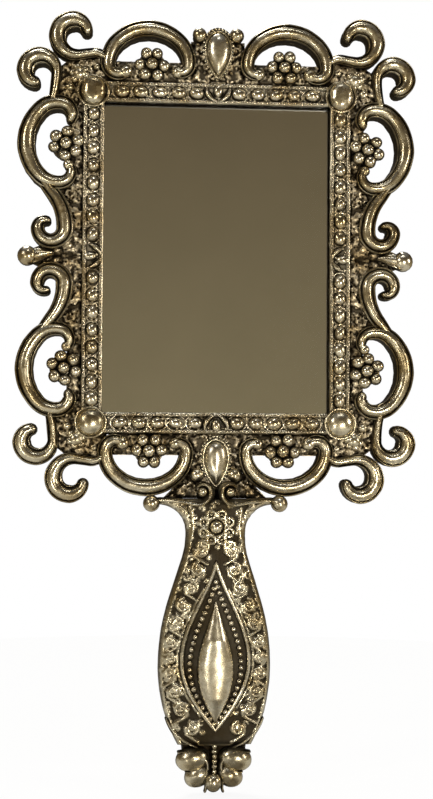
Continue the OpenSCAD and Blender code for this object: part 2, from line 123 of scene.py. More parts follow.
class Shape:
    """Vertices are (x, depth from the back face, z) in millimetres."""

    def __init__(self):
        self.v, self.f, self.soil = [], [], []

    def add(self, verts, faces, soil=None):
        n = len(self.v)
        self.v += verts
        self.soil += soil or [0.0] * len(verts)
        self.f += [tuple(i + n for i in face) for face in faces]

    def rings(self, rings, first_pole=None, last_pole=None, loop=False, soil=None):
        """Joins rings of points of one length into a skin, with a pole at each end."""
        verts = [p for ring in rings for p in ring]
        m, count = len(rings[0]), len(rings)
        soil = (soil or [0.0] * m) * count
        faces = []
        for i in range(count if loop else count - 1):
            a, b = i * m, (i + 1) % count * m
            for k in range(m):
                j = (k + 1) % m
                faces.append((a + k, a + j, b + j, b + k))
        if not loop:
            for ring_start, pole in ((0, first_pole), ((count - 1) * m, last_pole)):
                if pole is None:
                    faces.append(tuple(range(ring_start, ring_start + m)))
                else:
                    verts.append(pole)
                    soil.append(0.0)
                    top = len(verts) - 1
                    faces += [(ring_start + k, ring_start + (k + 1) % m, top) for k in range(m)]
        self.add(verts, faces, soil)

    def tube(self, path, base, rise, profile=RIMMED, blunt=0.55, bulbs=(0, 0)):
        """Bar with a shaped front along a path, and round ends. bulbs are ball sizes on its ends.

        rise is the height of its crown over its base, or gives it at x."""
        ends = []
        for p, way in ((path[0], -1), (path[-1], 1)):
            caps = []
            for a in (18, 36, 54, 70, 82):
                shift = way * p[3] / 2 * math.sin(rad(a))
                x = p[0] + shift * math.cos(rad(p[2]))
                z = p[1] + shift * math.sin(rad(p[2]))
                caps.append((x, z, p[2], p[3] * math.cos(rad(a)), blunt + (1 - blunt) * math.cos(rad(a))))
            ends.append(caps)
        spine = list(reversed(ends[0])) + [(*p, 1.0) for p in path] + ends[1]
        rings = []
        for x, z, heading, width, scale in spine:
            nx, nz = -math.sin(rad(heading)), math.cos(rad(heading))
            full = rise(x) if callable(rise) else rise * min(1.0, 0.62 + 0.38 * width / scale / 5.2)
            rings.append([
                (x + s * width / 2 * nx, base + h * full * scale, z + s * width / 2 * nz)
                for s, h, _ in profile
            ])
        self.rings(rings, soil=[p[2] for p in profile])
        for p, size in zip((path[0], path[-1]), bulbs, strict=True):
            if size:
                self.ball((p[0], p[1]), base + rise * 0.5, size, flat=0.9)

    def ball(self, at, depth, r, flat=1.0, around=16, rows=9, jitter=0.0, stretch=(1.0, 1.0), turn=0.0):
        sx, sz = stretch
        co, si = math.cos(rad(turn)), math.sin(rad(turn))
        wobble = [1 + rng.uniform(-jitter, jitter) for _ in range(3)]
        rings = []
        for j in range(1, rows):
            b = math.pi * j / rows
            rr = r * math.sin(b)
            d = depth + r * flat * wobble[1] * math.cos(b)
            ring = []
            for t in [2 * math.pi * k / around for k in range(around)]:
                x, z = rr * sx * wobble[0] * math.cos(t), rr * sz * wobble[2] * math.sin(t)
                ring.append((at[0] + x * co - z * si, d, at[1] + x * si + z * co))
            rings.append(ring)
        front = (at[0], depth + r * flat * wobble[1], at[1])
        rear = (at[0], depth - r * flat * wobble[1], at[1])
        self.rings(rings, first_pole=front, last_pole=rear)

    def wire(self, points, r, closed=False, sides=8, flat=1.0, taper=0.0):
        """Round wire along points (x, depth, z)."""
        n = len(points)
        rings = []
        for i, p in enumerate(points):
            a = points[(i - 1) % n] if closed or i > 0 else points[i]
            b = points[(i + 1) % n] if closed or i < n - 1 else points[i]
            along = Vector((b[0] - a[0], b[1] - a[1], b[2] - a[2])).normalized()
            side = along.cross(Vector((0, 1, 0))).normalized()
            up = side.cross(along)
            size = r * (1 - taper * abs(2 * i / max(1, n - 1) - 1)) if not closed else r
            rings.append([
                tuple(Vector(p) + size * (math.cos(t) * side + flat * math.sin(t) * up))
                for t in [2 * math.pi * k / sides for k in range(sides)]
            ])
        if closed:
            self.rings(rings, loop=True)
        else:
            self.rings(rings, first_pole=points[0], last_pole=points[-1])

    def relief(self, loop, height, base, step, soil=None):
        """Plate with a carved front, whose outline is loop.

        height(x, z, distance to the edge) gives the depth of its front, and soil(...) how soiled it is."""
        ring = resampled(loop, step)
        verts = [Vector(p) for p in ring]
        edges = [(i, (i + 1) % len(ring)) for i in range(len(ring))]
        boundary = len(verts)
        tree = kdtree.KDTree(boundary * 3)
        for i, (a, b) in enumerate(edges):
            for k in range(3):
                p = verts[a].lerp(verts[b], k / 3)
                tree.insert((p.x, p.y, 0), i * 3 + k)
        tree.balance()
        xs = [p[0] for p in ring]
        zs = [p[1] for p in ring]
        rows = int((max(zs) - min(zs)) / (step * 0.87)) + 1
        for j in range(rows + 1):
            z = min(zs) + j * step * 0.87
            crossings = []
            for k, p in enumerate(ring):
                q = ring[(k + 1) % len(ring)]
                if (p[1] > z) != (q[1] > z):
                    crossings.append(p[0] + (z - p[1]) / (q[1] - p[1]) * (q[0] - p[0]))
            crossings.sort()
            for left, right in zip(crossings[::2], crossings[1::2]):
                k = math.ceil((left - min(xs)) / step)
                while min(xs) + (k + 0.5 * (j % 2)) * step < right:
                    x = min(xs) + (k + 0.5 * (j % 2)) * step
                    if x > left and tree.find((x, z, 0))[2] > 0.45 * step:
                        verts.append(Vector((x, z)))
                    k += 1
        out, _, faces, *_ = geometry.delaunay_2d_cdt(verts, edges, [], 0, 1e-7)
        keep = []
        for face in faces:
            cx = sum(out[i].x for i in face) / 3
            cz = sum(out[i].y for i in face) / 3
            if inside(cx, cz, ring):
                keep.append(face)
        n = len(out)
        top, soiled = [], []
        for p in out:
            edge_distance = tree.find((p.x, p.y, 0))[2]
            top.append((p.x, height(p.x, p.y, edge_distance), p.y))
            soiled.append(soil(p.x, p.y, edge_distance) if soil else 0.0)
        back = [(p.x, base, p.y) for p in out[:boundary]]
        faces = list(keep)
        for a, b in edges:
            faces.append((a, b, n + b, n + a))
        self.add(top + back, faces, soiled + [1.0] * len(back))
        # the back is one flat face
        start = len(self.v) - len(back)
        self.f.append(tuple(range(start, start + boundary)))

    def build(self, name, material, nodes=(), flip=(1, 1), rough=0.1, sharp=48):
        mesh = bpy.data.meshes.new(name)
        verts = []
        for x, d, z in self.v:
            p = Vector((x * flip[0], -d, z * flip[1]))
            if rough:
                p += noise.noise_vector(p / 4.5) * rough + noise.noise_vector(p / 1.4) * rough * 0.25
            verts.append(p * MM)
        mesh.from_pydata(verts, [], self.f)
        mesh.attributes.new("soil", "FLOAT", "POINT").data.foreach_set("value", self.soil)
        bm = bmesh.new()
        bm.from_mesh(mesh)
        bmesh.ops.remove_doubles(bm, verts=bm.verts, dist=1e-7)
        bmesh.ops.recalc_face_normals(bm, faces=bm.faces)
        bm.to_mesh(mesh)
        bm.free()
        for poly in mesh.polygons:
            poly.use_smooth = True
        mesh.set_sharp_from_angle(angle=rad(sharp))
        mesh.materials.append(material)
        o = bpy.data.objects.new(name, mesh)
        bpy.context.scene.collection.objects.link(o)
        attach(o, "root")
        if nodes:
            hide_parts(*nodes)
        return o


def resampled(ring, step):
    out = []
    for i, p in enumerate(ring):
        q = ring[(i + 1) % len(ring)]
        parts = max(1, round(math.hypot(q[0] - p[0], q[1] - p[1]) / step))
        out += [(p[0] + (q[0] - p[0]) * k / parts, p[1] + (q[1] - p[1]) * k / parts) for k in range(parts)]
    return out


def inside(x, z, ring):
    hit = False
    for k, p in enumerate(ring):
        q = ring[k - 1]
        if (p[1] > z) != (q[1] > z) and x < p[0] + (z - p[1]) / (q[1] - p[1]) * (q[0] - p[0]):
            hit = not hit
    return hit


# Materials ------------------------------------------------------------------------------------

def node_maker(material):
    tree = material.node_tree
    tree.nodes.clear()

    def make(kind, **values):
        n = tree.nodes.new(kind)
        for key, value in values.items():
            if key in n.inputs:
                n.inputs[key].default_value = value
            else:
                setattr(n, key, value)
        return n

    return make, tree.links.new


def ramp(n, stops):
    el = n.color_ramp.elements
    while len(el) < len(stops):
        el.new(0.5)
    for e, (at, colour) in zip(el, stops, strict=True):
        e.position = at
        e.color = (*colour, 1) if len(colour) == 3 else colour


def metal(name, bright, deep, cavity=0.0026, rough=(0.14, 0.34), grain=0.00004, patches=0.75, walls=True):
    """Plated metal, blackened in its hollows and rubbed bright on its crowns, with painted shade down its
    side walls.
    """
    m = bpy.data.materials.new(name)
    m.use_nodes = True
    make, link = node_maker(m)

    def work(operation, a, b, clamp=False):
        n = make("ShaderNodeMath", operation=operation, use_clamp=clamp)
        for socket, value in zip(n.inputs, (a, b), strict=False):
            if isinstance(value, bpy.types.NodeSocket):
                link(value, socket)
            else:
                socket.default_value = value
        return n.outputs[0]

    def remap(value, a, b, to_a=0.0, to_b=1.0):
        n = make("ShaderNodeMapRange")
        for socket, limit in (("From Min", a), ("From Max", b), ("To Min", to_a), ("To Max", to_b)):
            n.inputs[socket].default_value = limit
        link(value, n.inputs["Value"])
        return n.outputs[0]

    out = make("ShaderNodeOutputMaterial")
    bsdf = make("ShaderNodeBsdfPrincipled", Metallic=1.0)
    link(bsdf.outputs[0], out.inputs[0])
    where = make("ShaderNodeTexCoord")
    low = make("ShaderNodeTexNoise", Scale=95.0, Detail=3.0, Roughness=0.6)
    mid = make("ShaderNodeTexNoise", Scale=420.0, Detail=2.0, Roughness=0.6)
    fine = make("ShaderNodeTexNoise", Scale=1500.0, Detail=3.0, Roughness=0.65)
    for n in (low, mid, fine):
        link(where.outputs["Object"], n.inputs["Vector"])
    ao = make("ShaderNodeAmbientOcclusion", Distance=cavity, samples=6)
    # the edge of the blackening wanders
    wander = remap(mid.outputs[0], 0.3, 0.7, -0.25, 0.25)
    open_ = work("ADD", remap(ao.outputs["AO"], 0.25, 0.75), wander, clamp=True)
    if walls:
        # painted shade: side walls darken towards the deep colour as their normals turn away from the front
        # and back
        wall_shade_facing = make("ShaderNodeSeparateXYZ")
        link(where.outputs["Normal"], wall_shade_facing.inputs[0])
        open_ = work("MULTIPLY", open_, remap(work("ABSOLUTE", wall_shade_facing.outputs["Y"], 0.0), 0.1, 0.5))
        soil = make("ShaderNodeAttribute", attribute_name="soil")
        open_ = work("MULTIPLY", open_, remap(soil.outputs["Fac"], 0.0, 1.0, 1.0, 0.0))
    tone = make("ShaderNodeValToRGB")
    warm = (bright[0] * 0.62, bright[1] * 0.52, bright[2] * 0.34)
    ramp(tone, [(0.38, warm), (0.54, bright), (0.68, tuple(min(1, c * 1.3) for c in bright))])
    link(low.outputs[0], tone.inputs[0])
    plain = make("ShaderNodeMix", data_type="RGBA")
    plain.inputs[0].default_value = patches
    plain.inputs[6].default_value = (*bright, 1)
    link(tone.outputs[0], plain.inputs[7])
    colour = make("ShaderNodeMix", data_type="RGBA")
    colour.inputs[6].default_value = (*deep, 1)
    link(plain.outputs[2], colour.inputs[7])
    link(open_, colour.inputs[0])
    link(colour.outputs[2], bsdf.inputs["Base Color"])
    dull = make("ShaderNodeMix", data_type="FLOAT")
    dull.inputs[2].default_value = 0.6
    link(open_, dull.inputs[0])
    link(remap(mid.outputs[0], 0.3, 0.7, *rough), dull.inputs[3])
    link(dull.outputs[0], bsdf.inputs["Roughness"])
    bump = make("ShaderNodeBump", Strength=1.0, Distance=grain)
    link(fine.outputs[0], bump.inputs["Height"])
    bump2 = make("ShaderNodeBump", Strength=1.0, Distance=grain * 2.5)
    link(mid.outputs[0], bump2.inputs["Height"])
    link(bump.outputs[0], bump2.inputs["Normal"])
    link(bump2.outputs[0], bsdf.inputs["Normal"])
    return m


SILVER = (0.66, 0.59, 0.43)
# near-black of the blackened hollows, also used for the painted shade down side walls
DEEP = (0.02, 0.014, 0.008)
antique = metal("antique_silver", SILVER, DEEP)
pearl = metal("rubbed_silver", (0.68, 0.61, 0.46), DEEP, rough=(0.16, 0.3), grain=0.00003)
polished = metal("burnished_silver", (0.74, 0.68, 0.53), DEEP, rough=(0.2, 0.32), grain=0.00001, patches=0.5)
dark = metal("blackened_ground", (0.56, 0.48, 0.34), DEEP, rough=(0.25, 0.45), grain=0.00005)
plain_back = metal(
    "plain_back", (0.5, 0.44, 0.33), DEEP, rough=(0.25, 0.4), grain=0.00001, patches=0.25, walls=False
)
steel = metal(
    "screw_steel", (0.55, 0.54, 0.51), DEEP, rough=(0.2, 0.35), grain=0.00001, patches=0.25, walls=False
)


def glass_material():
    """Clear pane, whose silvering is a piece of its own at its back."""
    m = bpy.data.materials.new("clear_glass")
    m.use_nodes = True
    make, link = node_maker(m)
    out = make("ShaderNodeOutputMaterial")
    bsdf = make("ShaderNodeBsdfPrincipled", IOR=1.5)
    bsdf.inputs["Transmission Weight"].default_value = 1.0
    where = make("ShaderNodeTexCoord")
    haze = make("ShaderNodeTexNoise", Scale=40.0, Detail=4.0, Roughness=0.6)
    link(where.outputs["Object"], haze.inputs["Vector"])
    tint = make("ShaderNodeValToRGB")
    ramp(tint, [(0.3, (0.95, 0.96, 0.94)), (0.7, (0.98, 0.985, 0.97))])
    link(haze.outputs[0], tint.inputs[0])
    link(tint.outputs[0], bsdf.inputs["Base Color"])
    bsdf.inputs["Roughness"].default_value = 0.0
    link(bsdf.outputs[0], out.inputs[0])
    return m


def silvering_material():
    m = bpy.data.materials.new("silvering")
    m.use_nodes = True
    make, link = node_maker(m)
    out = make("ShaderNodeOutputMaterial")
    bsdf = make("ShaderNodeBsdfPrincipled", Metallic=1.0)
    where = make("ShaderNodeTexCoord")
    haze = make("ShaderNodeTexNoise", Scale=30.0, Detail=4.0, Roughness=0.6)
    link(where.outputs["Object"], haze.inputs["Vector"])
    tint = make("ShaderNodeValToRGB")
    ramp(tint, [(0.3, (0.87, 0.87, 0.84)), (0.7, (0.93, 0.93, 0.9))])
    link(haze.outputs[0], tint.inputs[0])
    link(tint.outputs[0], bsdf.inputs["Base Color"])
    bsdf.inputs["Roughness"].default_value = 0.02
    link(bsdf.outputs[0], out.inputs[0])
    return m


def card_material():
    m = bpy.data.materials.new("backing_card")
    m.use_nodes = True
    make, link = node_maker(m)
    out = make("ShaderNodeOutputMaterial")
    bsdf = make("ShaderNodeBsdfPrincipled", Roughness=0.9)
    where = make("ShaderNodeTexCoord")
    pulp = make("ShaderNodeTexNoise", Scale=900.0, Detail=4.0)
    link(where.outputs["Object"], pulp.inputs["Vector"])
    tint = make("ShaderNodeValToRGB")
    ramp(tint, [(0.3, (0.16, 0.1, 0.06)), (0.7, (0.26, 0.18, 0.11))])
    link(pulp.outputs[0], tint.inputs[0])
    link(tint.outputs[0], bsdf.inputs["Base Color"])
    link(bsdf.outputs[0], out.inputs[0])
    return m


def paint(node, material):
    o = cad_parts[node]
    for s in o.material_slots:
        s.material = material


paint("mirror_glass", glass_material())
paint("backing_card", card_material())
paint("ground_plate", dark)
paint("back_plate", plain_back)
paint("handle_back", plain_back)
paint("back_screws", steel)
paint("handle_rivets", steel)

SILVERED = 2.0
GLASS_W, GLASS_H = HALF_W + 1.9, HALF_H + 1.9
silvering = Shape()
silvering.add(
    [(x * GLASS_W, SILVERED, z * GLASS_H) for x, z in ((-1, -1), (1, -1), (1, 1), (-1, 1))],
    [(0, 1, 2, 3)],
)
silvering.build("v_silvering", silvering_material(), rough=0.0)

# Scrolls --------------------------------------------------------------------------------------

SCROLL_BASE, SCROLL_RISE = GROUND - 0.05, 4.4

top_path = both_ways(
    (HALF_W - 15.3, HALF_H + 25.8), 0, 6,
    [(15.3, -45, 5.6), (11.5, -45, 5.2), (3.6, -135, 4.2)],
    [(15.3, 40, 5.4), (11.4, 50, 4.8), (3, 110, 4)],
)
side_path = both_ways(
    (HALF_W + 26.7, HALF_H - 14.8), -90, 6.2,
    [(16.1, -45, 5.6), (8.4, -55, 4.8), (4.2, -80, 3.8), (2.3, -60, 2.8)],
    [(16.6, 45, 5.6), (8.2, 55, 5.4), (4.4, 75, 4.8), (2.4, 30, 4)],
)
upper_curl = walk(
    (HALF_W + 0.4, HALF_H + 15.9), 40, 3.2,
    [(4.3, -50, 3.4), (4.7, 0, 3.8), (6.6, 100, 6.2), (5.6, 90, 6.2), (4.6, 75, 4.2)],
)
lower_curl = walk(
    (HALF_W + 17.8, HALF_H + 0.9), 105, 3,
    [(35, -15, 3.6), (5.4, -90, 6), (5.2, -90, 6.2), (4.2, -75, 4.4)],
)
mid_path = walk(
    (HALF_W + 21.6, HALF_H - 27.1), -130, 3.4,
    [(6.5, 0, 5.0), (18.5, 40, 6.2), (4.8, 90, 5.4), (4.6, 90, 4.8), (2.6, 100, 3.2)],
)

for side, level, sx, sz in CORNERS:
    s = Shape()
    s.tube(top_path, SCROLL_BASE, SCROLL_RISE, flipped(RIMMED), bulbs=(2.1, 2.4))
    s.build(f"v_{level}_scroll_{side}", antique, [f"{level}_scroll_{side}"], (sx, sz))
    s = Shape()
    s.tube(side_path, SCROLL_BASE, SCROLL_RISE, flipped(RIMMED), bulbs=(0, 1.8))
    s.build(f"v_side_scroll_{level}_{side}", antique, [f"side_scroll_{level}_{side}"], (sx, sz))
    s = Shape()
    s.tube(upper_curl, SCROLL_BASE, SCROLL_RISE, flipped(RIMMED))
    s.tube(lower_curl, SCROLL_BASE, SCROLL_RISE, RIMMED)
    s.build(f"v_corner_scroll_{level}_{side}", antique, [f"corner_scroll_{level}_{side}"], (sx, sz))
    s = Shape()
    s.tube(mid_path, SCROLL_BASE, SCROLL_RISE * 0.95, RIBBED)
    s.build(f"v_mid_scroll_{level}_{side}", antique, [f"mid_scroll_{level}_{side}"], (sx, sz))

# Flowers, buds, knobs -------------------------------------------------------------------------

for side, level, sx, sz in CORNERS:
    for name, at, first in (
        (f"flower_{level}_{side}", (HALF_W - 16.3, HALF_H + 13.2), 0),
        (f"flower_side_{level}_{side}", (HALF_W + 13.1, HALF_H - 15), 40),
    ):
        s = Shape()
        s.ball(at, GROUND + 0.2, 3.8, flat=0.3)
        s.ball(at, GROUND + 3.0, 2.1, jitter=0.05)
        for k in range(6):
            t = rad(60 * k + first + rng.uniform(-5, 5))
            s.ball((at[0] + 4.2 * math.cos(t), at[1] + 4.2 * math.sin(t)), GROUND + 2.0, 2.15, jitter=0.08)
        s.build("v_" + name, pearl, [name], (sx, sz))
    s = Shape()
    at = (HALF_W + 8.7, HALF_H + 9.4)
    s.ball(at, GROUND + 1.2, 2.7, jitter=0.06, flat=0.9)
    for k in range(6):
        t = rad(60 * k + 15)
        s.ball((at[0] + 2.3 * math.cos(t), at[1] + 2.3 * math.sin(t)), GROUND + 1.3, 1.5, jitter=0.12)
    s.ball((HALF_W + 11.9, HALF_H + 4.9), GROUND + 0.9, 1.8, jitter=0.1)
    s.ball((HALF_W + 2.6, HALF_H + 12.2), GROUND + 0.9, 1.5, jitter=0.1)
    s.build(f"v_bud_{level}_{side}", antique, [f"bud_{level}_{side}"], (sx, sz))

for side, sx in (("left", -1), ("right", 1)):
    s = Shape()
    s.ball((HALF_W + 25.9, -0.2), GROUND + 1.5, 3.3, stretch=(1.05, 1.1), turn=20, jitter=0.05)
    s.tube(walk((HALF_W + 17.5, 0.8), -4, 1.6, [(30, -8, 4.6), (4.5, 0, 5.8)]), GROUND, 3.6, PLAIN)
    s.build(f"v_knob_{side}", pearl, [f"knob_{side}"], (sx, 1))

# Bezel strips ---------------------------------------------------------------------------------

# Section of a strip from its inner to its outer edge: (place across, height, how soiled it is)
STRIP = [
    (0.0, 0.0, 1), (0.0, 1.9, 0.3), (0.25, 2.25, 0), (0.75, 2.4, 0), (1.25, 2.2, 0), (1.5, 1.7, 0.6),
    (1.9, 1.45, 0.6), (3.6, 1.4, 0.4), (5.3, 1.45, 0.6), (5.7, 1.7, 0.6), (5.95, 2.2, 0), (6.45, 2.4, 0),
    (6.95, 2.25, 0), (7.2, 1.9, 0.3), (7.2, 0.0, 1),
]
PETAL_RISE = 4.3


def crescent(s, at, r, depth, from_a, to_a, wire, stretch=1.0):
    s.wire([
        (at[0] + stretch * r * math.cos(rad(a)), depth, at[1] + r * math.sin(rad(a)))
        for a in [from_a + (to_a - from_a) * k / 10 for k in range(11)]
    ], wire, taper=0.6)


def strip(name, half_len, height, pearls, long, petal_turn, turn):
    """Strip along +x whose inner edge is at z = height, then turned into place."""
    s = Shape()
    rings = []
    n = 40
    for i in range(n + 1):
        f = -1 + 2 * i / n
        rings.append([(f * (half_len + c), GROUND + h, height + c) for c, h, _ in STRIP])
    s.rings(rings, soil=[p[2] for p in STRIP])
    for c in (0.75, 6.45):
        count = round((2 * (half_len + c)) / 1.1)
        for k in range(count + 1):
            x = -(half_len + c) + 2 * (half_len + c) * k / count + rng.uniform(-0.1, 0.1)
            s.ball((x, height + c), GROUND + 2.3, rng.uniform(0.45, 0.62), around=7, rows=5, jitter=0.12)
    for x in sorted([p for x in pearls for p in (x, -x)]):
        at = (x + rng.uniform(-0.2, 0.2), height + 3.6)
        r, tilt = rng.uniform(1.95, 2.25), rng.uniform(-14, 14)
        s.ball(at, GROUND + 1.7, r, jitter=0.1, flat=0.85, stretch=(long, 1.0), turn=tilt)
        for way in (-1, 1):
            start = 90 - 90 * way
            crescent(s, at, 2.6, GROUND + 1.6, start - 62, start + 62, 0.5, long * 1.02)
            beside = (at[0] + way * 2.9 * long, at[1] + rng.uniform(-1.2, 1.2))
            s.ball(beside, GROUND + 1.6, 0.55, around=8, rows=6)
    for _ in range(round(half_len * 2.4)):
        at = (rng.uniform(-half_len, half_len), height + rng.choice((2.1, 5.2)) + rng.uniform(-0.35, 0.35))
        s.ball(at, GROUND + 1.6, rng.uniform(0.4, 0.75), around=8, rows=6, jitter=0.12)
    # pointed leaf over the middle: two petals that spring from the inner edge
    for way in (-1, 1):
        bend = [(5.2, petal_turn * 0.55, 3.3), (4.8, petal_turn * 0.45, 1.4)]
        petal = walk((0.7, height + 0.9), 20, 1.6, bend)
        petal = [(way * x, z, h if way > 0 else 180 - h, w) for x, z, h, w in petal]
        s.tube(petal, GROUND, PETAL_RISE, RIBBED)
    s.ball((0, height + 4.6), GROUND + 1.4, 1.7, stretch=(1.0, 1.5))
    a = rad(turn)
    s.v = [(x * math.cos(a) + z * math.sin(a), d, -x * math.sin(a) + z * math.cos(a)) for x, d, z in s.v]
    s.build("v_" + name, pearl, [name])


top_pearls = [7.4 + 6.45 * k for k in range(5)]
side_pearls = [7.6 + 5.95 * k for k in range(8)]
strip("bezel_top", HALF_W, HALF_H, top_pearls, 1.28, 70, 0)
strip("bezel_bottom", HALF_W, HALF_H, top_pearls, 1.28, 70, 180)
strip("bezel_right", HALF_H, HALF_W, side_pearls, 1.18, 55, 90)
strip("bezel_left", HALF_H, HALF_W, side_pearls, 1.18, 55, -90)

# Bosses on the corners ------------------------------------------------------------------------


def heart(at, size):
    """Plump heart with its point down."""
    pts = []
    for k in range(60):
        t = 2 * math.pi * k / 60
        r = 1 - 0.1 * math.cos(t) + 0.1 * math.cos(2 * t) * (1 if math.cos(t) < 0 else 0.4)
        tall = size * 1.04 * r * math.cos(t) * (1.12 if math.cos(t) > 0 else 0.92)
        pts.append((at[0] + size * 0.98 * r * math.sin(t), at[1] - tall))
    return pts


def boss_height(x, z, e):
    f = min(1.0, e / 2.6)
    return BEZEL + 0.2 + 2.3 * math.sqrt(1 - (1 - f) ** 2) + 0.6 * min(1.0, e / 5)


for side, level, sx, sz in CORNERS:
    s = Shape()
    at = (HALF_W + 3.8, HALF_H + 3.5)
    if level == "top":
        s.relief(heart(at, 4.7), boss_height, BEZEL - 1, 0.4)
    else:
        s.ball(at, BEZEL - 0.2, 4.9, flat=0.72, around=32, rows=18)
    s.wire([
        (at[0] + 5.2 * math.cos(rad(a)), BEZEL + 0.2, at[1] + 5.2 * math.sin(rad(a)))
        for a in range(0, 360, 10)
    ], 0.45, closed=True)
    s.build(f"v_boss_{level}_{side}", antique, [f"boss_{level}_{side}"], (sx, sz), rough=0.12)

# Drops ----------------------------------------------------------------------------------------


def drop_points(w, h, n=48):
    return [
        (w * math.sin(a) * max(0.0, math.sin(a / 2)) ** 0.7 * 1.12, -h * math.cos(a))
        for a in [2 * math.pi * k / n for k in range(n)]
    ]


def drop_height(x, z, e):
    f = min(1, e / 4.2)
    return GROUND + 1.6 + 3.0 * math.sqrt(max(0.0, 1 - (1 - f) ** 2))


# Height of the balls beside each drop, from its middle
FLANK = {"top": 7.0, "bottom": -4.1}

for level, sz in (("top", 1), ("bottom", -1)):
    mid = sz * (HALF_H + 17.3)
    s = Shape()
    loop = [(x, z + mid) for x, z in drop_points(4.4, 7.6)]
    s.relief(loop, drop_height, GROUND, 0.4)
    s.build(f"v_drop_{level}", polished, [f"drop_{level}"])
    s = Shape()
    s.wire([(x, GROUND + 1.9, z + mid) for x, z in drop_points(4.75, 8.1)], 0.5, closed=True)
    ring = resampled([(x, z + mid) for x, z in drop_points(5.55, 9.1)], 0.35)
    walked, last = 0.0, ring[0]
    for p in ring:
        walked += math.hypot(p[0] - last[0], p[1] - last[1])
        last = p
        if walked >= 1.15:
            walked = 0.0
            s.ball(p, GROUND + 1.5, 0.62, around=8, rows=6, jitter=0.08)
    s.relief(
        [(x, z + mid) for x, z in drop_points(6.1, 9.8)], lambda x, z, e: GROUND + 1.2, GROUND - 0.1, 0.8,
        soil=lambda x, z, e: 0.9,
    )
    for way in (-1, 1):
        s.ball((way * 6.5, mid + FLANK[level]), GROUND + 1.2, 2.5, jitter=0.05)
    s.build(f"v_collet_{level}", antique, [f"collet_{level}"])

# Handle ---------------------------------------------------------------------------------------

side_line = walk(
    (20.5, -HANDLE_TOP - 2), 183, 0,
    [
        (1.5, 0, 0), (9.4, 87, 0), (1.5, 0, 0), (24, 18, 0), (14.5, 0, 0), (75, -18, 0), (56, -20, 0),
        (40, -10, 0), (1, 0, 0),
    ],
)
FIELD_TOP, FIELD_END = HALF_H + 50.9, HALF_H + 107.8
# Half width of the line round the marquise, and the middle of the flower on the neck
BAND_W = 13.1
NECK_Z = -HANDLE_TOP - 9.5


def marquise(u, width, power=1.3):
    return width * math.sin(math.pi * min(1.0, max(0.0, u)) ** power)


def marquise_half(z, top, end, width):
    u = (-z - top) / (end - top)
    return marquise(u, width) if 0 < u < 1 else -1.0


def marquise_line(top, end, width, n=40):
    right = [(marquise(i / n, width), -top - (end - top) * i / n) for i in range(n + 1)]
    return right + [(-x, z) for x, z in right[-2:0:-1]]


def dome(x):
    return HANDLE_D - DOME_R + math.sqrt(DOME_R * DOME_R - x * x)


class Lines:
    """Curves in the front view, which raise a ridge where they run."""

    def __init__(self):
        self.points = []

    def curve(self, pts, width, height):
        for (ax, az), (bx, bz) in zip(pts, pts[1:]):
            n = max(1, int(math.hypot(bx - ax, bz - az) / 0.12))
            for k in range(n):
                self.points.append((ax + (bx - ax) * k / n, az + (bz - az) * k / n, width, height))
        self.points.append((*pts[-1], width, height))

    def dot(self, at, r, height):
        self.points.append((*at, r, height))

    def settle(self):
        self.tree = kdtree.KDTree(len(self.points))
        for i, p in enumerate(self.points):
            self.tree.insert((p[0], p[1], 0), i)
        self.tree.balance()

    def at(self, x, z):
        best = 0.0
        for _, i, d in self.tree.find_range((x, z, 0), 2.3):
            _, _, r, height = self.points[i]
            if d < r:
                best = max(best, height * math.sqrt(1 - (d / r) ** 2))
        return best


def spiral(at, r, start, turns, way=1, inner=0.25, n=26):
    out = []
    for k in range(n + 1):
        f = k / n
        a = rad(start + way * 360 * turns * f)
        rr = r * (1 - (1 - inner) * f)
        out.append((at[0] + rr * math.cos(a), at[1] + rr * math.sin(a)))
    return out


carving = Lines()
# edge fillet, inner line beside the marquise
for way in (1, -1):
    edge_line = []
    for x, z, h, w in side_line[2:]:
        nx, nz = -math.sin(rad(h)), math.cos(rad(h))
        edge_line.append((way * (x - 1.15 * nx), z - 1.15 * nz))
    carving.curve(edge_line, 0.55, 0.75)
    outer = [
        (way * marquise(i / 40, BAND_W), -(FIELD_TOP - 1) - (FIELD_END + 2 - FIELD_TOP) * i / 40)
        for i in range(7, 37)
    ]
    carving.curve(outer, 0.42, 0.5)
    # running scrolls down each side
    where = 0
    z = -HANDLE_TOP - 17.5
    while z > -HANDLE_TOP - 80:
        edge_x = min((abs(p[1] - z), p[0]) for p in side_line[12:])[1]
        inner_x = max(1.6, marquise_half(z, FIELD_TOP - 1, FIELD_END + 1, BAND_W) + 0.4)
        room = edge_x - 1.9 - inner_x
        r = max(1.1, min(2.35, room / 2 - 0.1))
        cx = way * (inner_x + room / 2 + 0.1)
        turn = 1 if where % 2 == 0 else -1
        pts = spiral((cx, z), r, 90, 1.35, way * turn)
        link_to = (cx - way * turn * r * 0.9, z - r - 2.2)
        carving.curve(pts, 0.7, 1.1)
        out_x = way * turn * r
        carving.curve([(cx + out_x * 0.95, z + 0.2), (cx + out_x * 0.8, z - r * 0.9), link_to], 0.6, 0.9)
        carving.dot((cx, z), 0.9, 1.25)
        z -= 2 * r + 1.5
        where += 1
